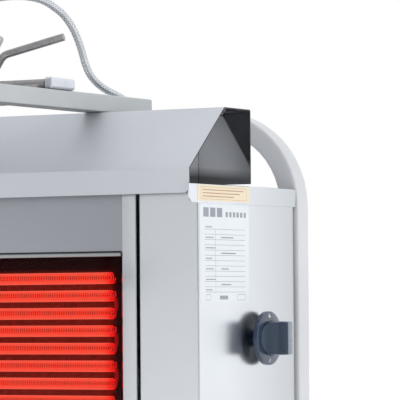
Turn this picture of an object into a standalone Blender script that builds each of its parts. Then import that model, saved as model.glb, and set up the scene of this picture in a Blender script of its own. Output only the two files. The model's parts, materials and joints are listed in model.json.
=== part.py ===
"""Vertical rotisserie broiler: three infrared heating zones behind glass, a hooded body, two top rails
that carry a sliding gearmotor, and a vertical spit that turns in front of the heaters.

Metres, +Z up, +X to the machine's right, -Y towards the spit. The origin is on the floor, in the middle
of the base.
"""

import math

import bmesh
import bpy
from mathutils import Matrix, Vector

# Driving dimensions
GAP = 0.0003  # clearance between pieces that touch
SHEET = 0.0015
HALF_BODY = 0.275
BODY_DEPTH = 0.243
BODY_FRONT = 0.050
CAP_TOP = 0.840
ZONES = 3
ZONE_PITCH = 0.203
ROWS_PER_ZONE = 8
ROW_PITCH = 0.02134
KNOB_REACH = 0.0425  # how far a heat knob stands out of the side panel
FOOT_HEIGHT = 0.022
BASE_HEIGHT = 0.060
CARRIAGE_TRAVEL = 0.050

# Worked out from them
BODY_BACK = BODY_FRONT + BODY_DEPTH
HALF_BASE = HALF_BODY + KNOB_REACH
BASE_BACK = 0.330
BASE_FRONT = -0.312
BASE_TOP = FOOT_HEIGHT + BASE_HEIGHT
BODY_BOTTOM = BASE_TOP + GAP
PANEL_TOP = CAP_TOP - SHEET - GAP

# Front of the body: pillar, gap, strip and window, from the corner inwards
PILLAR_WIDTH = 0.0807
STRIP_OUTER = HALF_BODY - 0.0864
STRIP_INNER = HALF_BODY - 0.1064
HALF_WINDOW = STRIP_INNER - GAP
FIRST_ZONE = CAP_TOP - 0.1833
BAR_HEIGHT = 0.0042
GLASS_HEIGHT = ZONE_PITCH - BAR_HEIGHT - 2 * GAP
WINDOW_TOP = FIRST_ZONE + ZONE_PITCH / 2 + BAR_HEIGHT / 2
WINDOW_BOTTOM = WINDOW_TOP - ZONES * ZONE_PITCH - BAR_HEIGHT

# Hood over the cap
HOOD_OVERHANG = 0.0193
HOOD_HEIGHT = 0.093
HOOD_RISE_END = 0.0673
HOOD_BACK = 0.1327
LIP_TOP = 0.0183
LIP_DROP = 0.0114
HALF_HOOD = HALF_BODY - 0.0005
HOOD_BULKHEAD = 0.203  # from the middle to the wall that closes the hood on each side
HOOD_BACK_CLEARANCE = 0.003
BAND_HEIGHT = 0.0224
BAND_OVERHANG = 0.0245

# Rails, carriage and spit
RAIL_BOTTOM = CAP_TOP + HOOD_HEIGHT + GAP
RAIL_HEIGHT = 0.022
RAIL_TOP = RAIL_BOTTOM + RAIL_HEIGHT
RAIL_OUTER = 0.105
RAIL_WIDTH = 0.025
RAIL_WALL = 0.002
RAIL_FRONT = -0.300
RAIL_BACK = {"left": 0.208, "right": 0.238}
SPIT_Y = -0.195
PLATE_BOTTOM = RAIL_TOP + GAP
PLATE_TOP = PLATE_BOTTOM + 0.006
CLAMP_Y = 0.029
ROD_Y = 0.008
ROD_RADIUS = 0.00575
CASE_TOP = PLATE_TOP + GAP + 0.038
GEAR_TEETH, PINION_TEETH, GEAR_MODULE = 30, 10, 0.0024
GEAR_DISTANCE = (GEAR_TEETH + PINION_TEETH) * GEAR_MODULE / 2
PINION_Y = SPIT_Y + GEAR_DISTANCE

# Motor cable, from the gland on the cap to the gland on the motor
CABLE_DIAMETER = 0.0095
CABLE_ROUTE = [
    (0.0750, 0.2620, 0.8623),
    (0.0750, 0.2620, 0.8850),
    (0.0748, 0.2605, 0.9080),
    (0.0738, 0.2545, 0.9300),
    (0.0715, 0.2430, 0.9465),
    (0.0685, 0.2285, 0.9565),
    (0.0648, 0.2145, 0.9618),
    (0.0614, 0.1989, 0.9668),
    (0.0580, 0.1832, 0.9745),
    (0.0552, 0.1705, 0.9850),
    (0.0534, 0.1625, 0.9980),
    (0.0521, 0.1565, 1.0130),
    (0.0505, 0.1490, 1.0282),
    (0.0484, 0.1392, 1.0425),
    (0.0456, 0.1260, 1.0548),
    (0.0422, 0.1103, 1.0635),
    (0.0384, 0.0928, 1.0702),
    (0.0347, 0.0750, 1.0731),
    (0.0300, 0.0540, 1.0736),
    (0.0240, 0.0300, 1.0715),
    (0.0170, 0.0030, 1.0668),
    (0.0100, -0.0250, 1.0600),
    (0.0040, -0.0530, 1.0535),
    (0.0008, -0.0700, 1.0508),
    (0.0000, -0.0847, 1.0500),
]


# Tools


def clear_scene():
    for item in list(bpy.data.objects):
        bpy.data.objects.remove(item, do_unlink=True)


def material(name, color, roughness, metallic=0.0, alpha=1.0):
    made = bpy.data.materials.new(name)
    made.use_nodes = True
    shader = made.node_tree.nodes["Principled BSDF"]
    shader.inputs["Base Color"].default_value = (*color, 1.0)
    shader.inputs["Roughness"].default_value = roughness
    shader.inputs["Metallic"].default_value = metallic
    shader.inputs["Alpha"].default_value = alpha
    return made


def add_object(name, shape, finish=None):
    """Puts a bmesh or a mesh into the scene as one named object."""
    if isinstance(shape, bmesh.types.BMesh):
        bmesh.ops.recalc_face_normals(shape, faces=shape.faces)
        mesh = bpy.data.meshes.new(name)
        shape.to_mesh(mesh)
        shape.free()
    else:
        mesh = shape
        mesh.name = name
    item = bpy.data.objects.new(name, mesh)
    bpy.context.scene.collection.objects.link(item)
    if finish:
        mesh.materials.clear()
        mesh.materials.append(finish)
    return item


def box_shape(low, high):
    shape = bmesh.new()
    size = Vector(high) - Vector(low)
    middle = (Vector(high) + Vector(low)) / 2
    bmesh.ops.create_cube(shape, size=1.0, matrix=Matrix.Translation(middle) @ Matrix.Diagonal((*size, 1.0)))
    return shape


def box(name, low, high, finish, rounding=0.0, segments=2):
    item = add_object(name, box_shape(low, high), finish)
    if rounding:
        round_edges(item, rounding, segments)
    return item


def round_edges(item, width, segments=2):
    bevel = item.modifiers.new("Rounding", "BEVEL")
    bevel.width = width
    bevel.segments = segments
    bevel.limit_method = "ANGLE"
    bevel.angle_limit = math.radians(40)


def prism(name, outline, axis, low, high, finish=None):
    """A flat outline, extruded along an axis. Its two coordinates are the other axes, in X, Y, Z order."""
    place = {
        "X": lambda a, b, c: (c, a, b),
        "Y": lambda a, b, c: (a, c, b),
        "Z": lambda a, b, c: (a, b, c),
    }[axis]
    shape = bmesh.new()
    face = shape.faces.new([shape.verts.new(place(a, b, low)) for a, b in outline])
    swept = bmesh.ops.extrude_face_region(shape, geom=[face])
    moved = [v for v in swept["geom"] if isinstance(v, bmesh.types.BMVert)]
    bmesh.ops.translate(shape, verts=moved, vec=Vector(place(0, 0, high - low)))
    return add_object(name, shape, finish)


def bent_sheet(points, thickness, radius, segments=4):
    """The outline of a strip bent along points, with its thickness to the left and arcs at the bends."""
    near, far = [], []
    line = [Vector(p) for p in points]
    for i, point in enumerate(line):
        before = (point - line[i - 1]).normalized() if i else None
        after = (line[i + 1] - point).normalized() if i + 1 < len(line) else None
        along = after or before
        left = Vector((-along.y, along.x))
        if before is None or after is None:
            near.append(point)
            far.append(point + left * thickness)
            continue
        turn = math.atan2(before.cross(after), before.dot(after))
        side = math.copysign(1.0, turn)
        start = point - before * radius * math.tan(abs(turn) / 2)
        centre = start + Vector((-before.y, before.x)) * radius * side
        for k in range(segments + 1):
            spoke = Matrix.Rotation(turn * k / segments, 2) @ (start - centre)
            near.append(centre + spoke)
            far.append(centre + spoke * (radius - side * thickness) / radius)
    return [tuple(p) for p in near + far[::-1]]


def turned(name, profile, centre, axis="Z", finish=None, steps=32):
    """A solid of revolution. profile holds (radius, height) pairs, and heights run along axis from centre."""
    shape = bmesh.new()
    points = [shape.verts.new((radius, 0.0, height)) for radius, height in profile]
    edges = [shape.edges.new(pair) for pair in zip(points, points[1:])]
    bmesh.ops.spin(
        shape,
        geom=points + edges,
        cent=(0, 0, 0),
        axis=(0, 0, 1),
        angle=math.tau,
        steps=steps,
        use_merge=True,
    )
    bmesh.ops.remove_doubles(shape, verts=shape.verts, dist=1e-6)
    turn = {
        "X": Matrix.Rotation(math.pi / 2, 4, "Y"),
        "Y": Matrix.Rotation(-math.pi / 2, 4, "X"),
        "Z": Matrix(),
    }
    bmesh.ops.transform(shape, matrix=turn[axis], verts=shape.verts)
    item = add_object(name, shape, finish)
    item.data.shade_smooth()
    item.data.set_sharp_from_angle(angle=math.radians(35))
    item.location = centre
    return item


def rod_along(name, points, radius, finish=None, resolution=2):
    """A round rod along points, as a curve with filled caps."""
    curve = bpy.data.curves.new(name, "CURVE")
    curve.dimensions = "3D"
    curve.bevel_depth = radius
    curve.bevel_resolution = resolution
    curve.use_fill_caps = True
    line = curve.splines.new("POLY")
    line.points.add(len(points) - 1)
    for spot, point in zip(line.points, points):
        spot.co = (*point, 1.0)
    item = bpy.data.objects.new(name, curve)
    bpy.context.scene.collection.objects.link(item)
    if finish:
        curve.materials.append(finish)
    return item


def solid_of(item):
    """Turns a curve object into a mesh object of the same name, so that a Boolean can take it."""
    name = item.name
    graph = bpy.context.evaluated_depsgraph_get()
    mesh = bpy.data.meshes.new_from_object(item.evaluated_get(graph))
    bpy.data.objects.remove(item, do_unlink=True)
    return add_object(name, mesh)


def smooth_route(points, spacing):
    """Points a given distance apart on a Catmull-Rom curve through the route's own points."""
    line = [Vector(p) for p in points]
    ends = [line[0] * 2 - line[1], *line, line[-1] * 2 - line[-2]]
    dense = []
    for p0, p1, p2, p3 in zip(ends, ends[1:], ends[2:], ends[3:]):
        for k in range(24):
            t = k / 24
            dense.append(
                (2 * p1 + (p2 - p0) * t + (2 * p0 - 5 * p1 + 4 * p2 - p3) * t**2
                 + (3 * p1 - p0 - 3 * p2 + p3) * t**3) / 2
            )
    dense.append(line[-1])
    kept, travelled = [dense[0]], 0.0
    for a, b in zip(dense, dense[1:]):
        travelled += (b - a).length
        if travelled >= spacing:
            kept.append(b)
            travelled = 0.0
    if (kept[-1] - line[-1]).length < spacing / 2:
        kept.pop()
    return [*kept, line[-1]]


def boolean(item, tool, operation):
    change = item.modifiers.new(f"{operation} {tool.name}", "BOOLEAN")
    change.operation = operation
    change.solver = "EXACT"
    change.object = tool
    tool.hide_render = True
    tool.display_type = "WIRE"
    return item


def cut(item, tool):
    return boolean(item, tool, "DIFFERENCE")


def join(item, tool):
    return boolean(item, tool, "UNION")


def cut_box(item, low, high):
    return cut(item, add_object(f"{item.name}_cutter", box_shape(low, high)))


def cut_bore(item, centre, axis, radius, length, steps=24):
    profile = [(0, length), (radius, length), (radius, 0), (0, 0)]
    return cut(item, turned(f"{item.name}_bore", profile, centre, axis, steps=steps))


def hang_on(item, point):
    """Moves an object's origin to a joint's axis without moving its shape."""
    point = Vector(point)
    shift = item.location - point
    item.data.transform(Matrix.Translation(shift))
    item.location = point
    return item


def zone_centre(zone):
    return FIRST_ZONE - zone * ZONE_PITCH


# Finishes

def make_finishes():
    return {
        "satin": material("satin_steel", (0.62, 0.65, 0.69), 0.35, 1.0),
        "gloss": material("polished_steel", (0.78, 0.80, 0.83), 0.18, 1.0),
        "panel": material("panel_steel", (0.40, 0.41, 0.44), 0.4, 1.0),
        "frame": material("frame_paint", (0.72, 0.72, 0.73), 0.45),
        "rail": material("rail_paint", (0.70, 0.72, 0.72), 0.5),
        "rod": material("bare_rod", (0.45, 0.43, 0.43), 0.45, 1.0),
        "shoe": material("shoe_zinc", (0.72, 0.72, 0.75), 0.4, 1.0),
        "knob": material("knob_plastic", (0.12, 0.15, 0.20), 0.45),
        "glass": material("heater_glass", (0.02, 0.02, 0.02), 0.05, alpha=0.35),
        "element": material("heating_wire", (0.85, 0.10, 0.05), 0.5),
        "board": material("ceramic_board", (0.08, 0.05, 0.05), 0.9),
        "rubber": material("rubber", (0.04, 0.04, 0.04), 0.8),
        "braid": material("cable_braid", (0.55, 0.58, 0.60), 0.4, 1.0),
        "nylon": material("black_nylon", (0.05, 0.05, 0.06), 0.5),
        "brass": material("plated_brass", (0.65, 0.62, 0.55), 0.3, 1.0),
        "gear": material("gear_steel", (0.40, 0.40, 0.42), 0.4, 1.0),
        "bearing": material("bearing_bronze", (0.50, 0.38, 0.20), 0.4, 1.0),
    }


# Base


def make_base(finish):
    base = box(
        "base_plinth",
        (-HALF_BASE, BASE_FRONT, FOOT_HEIGHT),
        (HALF_BASE, BASE_BACK, BASE_TOP),
        finish["satin"],
    )
    wall = 0.0025
    cut_box(
        base,
        (-HALF_BASE + wall, BASE_FRONT + wall, FOOT_HEIGHT - 0.01),
        (HALF_BASE - wall, BASE_BACK - wall, BASE_TOP - wall),
    )
    cut_box(base, (-0.185, -0.298, BASE_TOP - 0.01), (0.185, 0.018, BASE_TOP + 0.01))
    cut_box(base, (-0.2015, BASE_FRONT - 0.01, 0.0285), (0.2015, BASE_FRONT + 0.01, 0.0755))
    for side, left_right in ((-1, "left"), (1, "right")):
        for y, end in ((BASE_FRONT + 0.045, "front"), (BASE_BACK - 0.045, "rear")):
            profile = [(0, 0.059), (0.006, 0.059), (0.006, FOOT_HEIGHT - GAP), (0.017, FOOT_HEIGHT - GAP)]
            profile += [(0.021, 0.004), (0.019, 0.0), (0, 0)]
            centre = (side * (HALF_BASE - 0.045), y, 0)
            turned(f"foot_{end}_{left_right}", profile, centre, "Z", finish["rubber"], 24)


def make_drip_tray(finish):
    """A pan that slides into the base from the front, with a face plate and a bent pull."""
    half, front, back, bottom, top = 0.200, BASE_FRONT + GAP, 0.020, 0.030, 0.074
    tray = box("drip_tray", (-half, front - 0.002, bottom), (half, back, top), finish["gloss"])
    cut_box(tray, (-half + SHEET, front + SHEET, bottom + SHEET), (half - SHEET, back - SHEET, top + 0.01))
    face_front, face_back, rim = BASE_FRONT - 0.0035, BASE_FRONT - GAP, 0.003
    face = box_shape((-half - 2 * rim, face_front, bottom - rim), (half + 2 * rim, face_back, top + rim))
    join(tray, add_object("tray_face", face))
    root, tip = face_front + 0.0005, -BASE_BACK
    pull = bent_sheet([(-0.070, root), (-0.060, tip), (0.060, tip), (0.070, root)], 0.005, 0.008)
    join(tray, prism("tray_pull", pull, "Z", 0.048, 0.056))
    return tray


def make_bow(finish):
    """The tube bow behind the body, which stands on the base."""
    width, depth, outer_radius = 0.026, 0.030, 0.121
    half, top, front = HALF_BODY + 0.0043, CAP_TOP + 0.0998, BODY_BACK + 0.0025
    line = [(-half, BASE_TOP + GAP), (-half, top), (half, top), (half, BASE_TOP + GAP)]
    outline = bent_sheet(line, -width, outer_radius, 12)
    bow = prism("rear_bow", outline, "Y", front, front + depth, finish["frame"])
    round_edges(bow, 0.003, 2)
    return bow


# Body


def side_outline(side):
    """A side panel seen from above: inner return, pillar, corner, side and rear return."""
    inner = HALF_BODY - PILLAR_WIDTH
    line = [
        (inner, BODY_FRONT + 0.018),
        (inner, BODY_FRONT),
        (HALF_BODY, BODY_FRONT),
        (HALF_BODY, BODY_BACK),
        (HALF_BODY - 0.020, BODY_BACK),
    ]
    outline = bent_sheet(line, SHEET, 0.0028, 4)
    return [(side * x, y) for x, y in outline]


KNOB_Y = BODY_FRONT + 0.150
SWITCH_Z = 0.160


def make_body(finish):
    for side, name in ((-1, "left"), (1, "right")):
        outline = side_outline(side)
        panel = prism(f"side_panel_{name}", outline, "Z", BODY_BOTTOM, PANEL_TOP, finish["gloss"])
        if side == 1:
            for zone in range(ZONES):
                cut_bore(panel, (HALF_BODY - 0.01, KNOB_Y, zone_centre(zone)), "X", 0.005, 0.02)
            cut_bore(panel, (HALF_BODY - 0.01, KNOB_Y, SWITCH_Z), "X", 0.005, 0.02)
    back = box(
        "back_panel",
        (-HALF_BODY + 0.0205, BODY_BACK - SHEET, BODY_BOTTOM),
        (HALF_BODY - 0.0205, BODY_BACK, PANEL_TOP),
        finish["satin"],
    )
    slot = box_shape((-0.16, BODY_BACK - 0.01, 0.28), (-0.05, BODY_BACK + 0.01, 0.286))
    vent = add_object("vent_cutter", slot)
    for name, count, step in (("Rows", 8, (0, 0, 0.045)), ("Columns", 2, (0.21, 0, 0))):
        copies = vent.modifiers.new(name, "ARRAY")
        copies.count = count
        copies.use_relative_offset = False
        copies.use_constant_offset = True
        copies.constant_offset_displace = step
    cut(back, vent)
    cut_bore(back, (0.17, BODY_BACK - 0.01, 0.14), "Y", 0.0085, 0.02)

    half = STRIP_INNER - GAP
    box(
        "upper_panel",
        (-half, BODY_FRONT + 0.006, WINDOW_TOP + GAP),
        (half, BODY_FRONT + 0.006 + SHEET, PANEL_TOP),
        finish["panel"],
    )
    box(
        "lower_panel",
        (-half, BODY_FRONT + 0.002, BODY_BOTTOM),
        (half, BODY_FRONT + 0.002 + SHEET, WINDOW_BOTTOM - GAP),
        finish["panel"],
    )
    for side, name in ((-1, "left"), (1, "right")):
        line = [
            (STRIP_INNER, BODY_FRONT + 0.016),
            (STRIP_INNER, BODY_FRONT + 0.003),
            (STRIP_OUTER, BODY_FRONT + 0.003),
            (STRIP_OUTER, BODY_FRONT + 0.016),
        ]
        outline = [(side * x, y) for x, y in bent_sheet(line, SHEET, 0.002, 3)]
        prism(f"window_strip_{name}", outline, "Z", BODY_BOTTOM, PANEL_TOP, finish["gloss"])
    for bar in range(ZONES + 1):
        low = WINDOW_TOP - bar * ZONE_PITCH - BAR_HEIGHT
        box(
            f"window_bar_{bar + 1}",
            (-HALF_WINDOW, BODY_FRONT + 0.0005, low),
            (HALF_WINDOW, BODY_FRONT + 0.012, low + BAR_HEIGHT),
            finish["gloss"],
            0.0008,
        )


def make_zone(zone, finish):
    """One heating zone: its glass, its serpentine element and the ceramic board that holds it."""
    centre = zone_centre(zone)
    half_height = GLASS_HEIGHT / 2
    box(
        f"glass_{zone + 1}",
        (-HALF_WINDOW, BODY_FRONT + 0.003, centre - half_height),
        (HALF_WINDOW, BODY_FRONT + 0.007, centre + half_height),
        finish["glass"],
    )
    tube_radius = 0.0073
    turn_radius = ROW_PITCH / 2
    reach = 0.156 - turn_radius - tube_radius
    top_row = centre + ROW_PITCH * (ROWS_PER_ZONE - 1) / 2
    y = BODY_FRONT + 0.0175
    path = []
    for row in range(ROWS_PER_ZONE):
        z = top_row - row * ROW_PITCH
        direction = -1 if row % 2 == 0 else 1
        if row == 0:
            path.append((-direction * (reach + turn_radius), y, z))
        if row == ROWS_PER_ZONE - 1:
            path.append((direction * (reach + turn_radius), y, z))
            break
        for k in range(7):
            angle = math.pi * k / 6
            x = direction * (reach + turn_radius * math.sin(angle))
            path.append((x, y, z - turn_radius + turn_radius * math.cos(angle)))
    rod_along(f"heating_element_{zone + 1}", path, tube_radius, finish["element"], 1)

    board = box(
        f"heater_board_{zone + 1}",
        (-HALF_WINDOW + 0.002, BODY_FRONT + 0.0165, centre - half_height),
        (HALF_WINDOW - 0.002, BODY_FRONT + 0.050, centre + half_height),
        finish["board"],
    )
    cut_box(
        board,
        (-HALF_WINDOW + 0.008, BODY_FRONT + 0.010, centre - half_height + 0.005),
        (HALF_WINDOW - 0.008, BODY_FRONT + 0.0255, centre + half_height - 0.005),
    )


def make_cap(finish):
    """The top cap: a flat lid whose sides turn down over the side panels."""
    outer = HALF_BODY + GAP + SHEET
    front, back = BODY_FRONT - BAND_OVERHANG, BODY_BACK + 0.002
    line = [
        (-outer, CAP_TOP - BAND_HEIGHT),
        (-outer, CAP_TOP),
        (outer, CAP_TOP),
        (outer, CAP_TOP - BAND_HEIGHT),
    ]
    cap = prism("top_cap", bent_sheet(line, -SHEET, 0.0018, 3), "Y", front, back, finish["gloss"])
    lip_inside = BODY_FRONT - HOOD_OVERHANG + SHEET + 2 * GAP
    cut_box(cap, (-HALF_BODY, front - 0.01, CAP_TOP - 0.01), (HALF_BODY, lip_inside, CAP_TOP + 0.01))
    radius = 0.010
    low = CAP_TOP - BAND_HEIGHT
    corner = [(front - 0.01, low - 0.01), (front + radius, low - 0.01)]
    for k in range(7):
        angle = math.radians(270 - 15 * k)
        corner.append((front + radius + radius * math.cos(angle), low + radius + radius * math.sin(angle)))
    corner.append((front - 0.01, low + radius))
    cut(cap, prism("cap_corner_cutter", corner, "X", -outer - 0.01, outer + 0.01))
    return cap


def hood_line():
    return [
        (BODY_FRONT - HOOD_OVERHANG, CAP_TOP - LIP_DROP),
        (BODY_FRONT - HOOD_OVERHANG, CAP_TOP + LIP_TOP),
        (BODY_FRONT + HOOD_RISE_END, CAP_TOP + HOOD_HEIGHT),
        (BODY_FRONT + HOOD_BACK, CAP_TOP + HOOD_HEIGHT),
        (BODY_FRONT + HOOD_BACK, CAP_TOP + HOOD_BACK_CLEARANCE),
    ]


def make_hood(finish):
    """The folded hood, open at both ends, and the two bulkheads inside it."""
    line = hood_line()
    outline = bent_sheet(line, -SHEET, 0.0022, 4)
    hood = prism("hood_shell", outline, "X", -HALF_HOOD, HALF_HOOD, finish["satin"])
    front, low, clip = line[0][0], line[0][1], 0.006
    for side in (-1, 1):
        corner = [
            (side * (HALF_HOOD + 0.001), low - 0.001),
            (side * (HALF_HOOD - clip), low - 0.001),
            (side * (HALF_HOOD + 0.001), low + clip),
        ]
        cut(hood, prism(f"lip_corner_cutter_{side + 1}", corner, "Y", front - 0.01, front + 0.01))
    inset = SHEET + 2 * GAP
    slope = (Vector(line[2]) - Vector(line[1])).normalized()
    lift = (inset - inset * slope.x) / slope.y
    end = [
        (line[1][0] + inset, CAP_TOP + GAP),
        (line[1][0] + inset, line[1][1] - lift),
        (line[2][0] + inset * slope.y, line[2][1] - inset),
        (line[3][0] - inset, line[3][1] - inset),
        (line[3][0] - inset, CAP_TOP + GAP),
    ]
    for side, name in ((-1, "left"), (1, "right")):
        low, high = sorted((side * HOOD_BULKHEAD, side * (HOOD_BULKHEAD - SHEET)))
        prism(f"hood_bulkhead_{name}", end, "X", low, high, finish["panel"])


# Top gear


def make_rails(finish):
    """Two channel rails, open towards each other, and the portal that carries their back ends."""
    for side, name in ((-1, "left"), (1, "right")):
        line = [
            (RAIL_OUTER - RAIL_WIDTH, RAIL_BOTTOM),
            (RAIL_OUTER, RAIL_BOTTOM),
            (RAIL_OUTER, RAIL_TOP),
            (RAIL_OUTER - RAIL_WIDTH, RAIL_TOP),
        ]
        outline = [(side * x, z) for x, z in bent_sheet(line, RAIL_WALL, 0.003, 3)]
        prism(f"rail_{name}", outline, "Y", RAIL_FRONT, RAIL_BACK[name], finish["rail"])
    half, leg, base = RAIL_OUTER - 0.002, 0.022, CAP_TOP + GAP
    top = RAIL_BOTTOM - GAP
    portal = [
        (-half, base), (-half, top), (half, top), (half, base),
        (half - leg, base), (half - leg, top - 0.012), (-half + leg, top - 0.012), (-half + leg, base),
    ]
    front = BODY_FRONT + HOOD_BACK + 0.004
    prism("rail_support", portal, "Y", front, front + 0.030, finish["satin"])


def make_carriage(finish):
    """The T-shaped plate that slides on the rails, with its cross rod, shoes and clamp."""
    wide_back, spine = -0.143, 0.010
    outline = [
        (-RAIL_OUTER, SPIT_Y - 0.055), (RAIL_OUTER, SPIT_Y - 0.055), (RAIL_OUTER, wide_back),
        (0.050, wide_back + 0.030), (spine, wide_back + 0.045), (spine, CLAMP_Y + 0.009),
        (-spine, CLAMP_Y + 0.009), (-spine, wide_back + 0.045), (-0.050, wide_back + 0.030),
        (-RAIL_OUTER, wide_back),
    ]
    plate = prism("carriage_plate", outline, "Z", PLATE_BOTTOM, PLATE_TOP, finish["satin"])
    cut_bore(plate, (0, SPIT_Y, PLATE_BOTTOM - 0.01), "Z", 0.0132, 0.03, 32)
    cut_bore(plate, (0, CLAMP_Y, PLATE_BOTTOM - 0.01), "Z", 0.0055, 0.03)
    rod_z = RAIL_TOP + 0.001 + ROD_RADIUS
    saddle_top = rod_z + ROD_RADIUS + 0.003
    saddle = box_shape((-spine, ROD_Y - 0.010, PLATE_BOTTOM), (spine, ROD_Y + 0.0105, saddle_top))
    join(plate, add_object("rod_saddle", saddle))
    cut_bore(plate, (-0.02, ROD_Y, rod_z), "X", ROD_RADIUS + GAP, 0.04)
    return rod_z


def make_cross_rod(rod_z, finish):
    shoe_width, shoe_low, shoe_high = 0.0115, RAIL_TOP + GAP, RAIL_TOP + 0.0145
    inner = RAIL_OUTER - shoe_width
    profile = [(0, 2 * inner - 2 * GAP), (ROD_RADIUS, 2 * inner - 2 * GAP), (ROD_RADIUS, 0), (0, 0)]
    turned("cross_rod", profile, (-inner + GAP, ROD_Y, rod_z), "X", finish["rod"], 24)
    for side, name in ((-1, "left"), (1, "right")):
        low, high = sorted((side * inner, side * RAIL_OUTER))
        box(
            f"shoe_{name}",
            (low, ROD_Y - 0.007, shoe_low),
            (high, ROD_Y + 0.048, shoe_high),
            finish["shoe"],
            0.0035,
            3,
        )


def handle_arm(azimuth, reach, lift):
    """A bent rod across the clamp's boss: flat in the middle, steep, then out to both sides."""
    half = [(0.0, 0.983), (0.006, 0.983), (0.0170, 1.001), (reach, 1.021)]
    profile = [(-r, z + lift) for r, z in half[:0:-1]] + [(r, z + lift) for r, z in half]
    direction = Vector((math.cos(azimuth), math.sin(azimuth), 0))
    points = [Vector((0, CLAMP_Y, 0)) + direction * r + Vector((0, 0, z)) for r, z in profile]
    rounded = [points[0]]
    for before, point, after in zip(points, points[1:], points[2:]):
        into, out = (point - before), (after - point)
        turn = into.angle(out)
        if turn < 0.01:
            continue
        reach_in = min(0.006, into.length / 2.2, out.length / 2.2)
        start, end = point - into.normalized() * reach_in, point + out.normalized() * reach_in
        for k in range(5):
            t = k / 4
            rounded.append(start * (1 - t) ** 2 + point * 2 * t * (1 - t) + end * t**2)
    return [*rounded, points[-1]]


def make_clamp(finish):
    """The clamp: a bar that runs inside both rails, and a spindle with two crossed bent rods."""
    bar_top = RAIL_TOP - RAIL_WALL - GAP
    bar = box(
        "clamp_bar",
        (-RAIL_OUTER + RAIL_WALL + 0.0015, CLAMP_Y - 0.012, bar_top - 0.008),
        (RAIL_OUTER - RAIL_WALL - 0.0015, CLAMP_Y + 0.012, bar_top),
        finish["gear"],
    )
    cut_bore(bar, (0, CLAMP_Y, bar_top - 0.02), "Z", 0.0054, 0.03)
    profile = [
        (0, 0.991), (0.007, 0.991), (0.008, 0.990), (0.008, 0.972), (0.0085, 0.970),
        (0.0085, PLATE_TOP + GAP), (0.005, PLATE_TOP + GAP), (0.005, bar_top - 0.012), (0, bar_top - 0.012),
    ]
    handle = turned("clamp_handle", profile, (0, CLAMP_Y, 0), "Z", finish["rod"], 24)
    first = math.radians(14)
    for name, azimuth, reach, lift in (("a", first, 0.094, 0.0), ("b", first + math.radians(98), 0.064, 0.0050)):
        rod = solid_of(rod_along(f"clamp_rod_{name}", handle_arm(azimuth, reach, lift), 0.0047, None, 3))
        join(handle, rod)
    hang_on(handle, (0, CLAMP_Y, 0.980))


def gear_outline(teeth):
    """Trapezoid teeth with a little backlash, a tooth centred on angle 0."""
    tip_share, root_share = 0.20, 0.42
    tip = teeth * GEAR_MODULE / 2 + 0.8 * GEAR_MODULE
    root = teeth * GEAR_MODULE / 2 - 1.15 * GEAR_MODULE
    pitch = math.tau / teeth
    outline = []
    for tooth in range(teeth):
        for radius, share in ((root, -root_share), (tip, -tip_share), (tip, tip_share), (root, root_share)):
            angle = (tooth + share / 2) * pitch
            outline.append((radius * math.cos(angle), radius * math.sin(angle)))
    return outline


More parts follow.
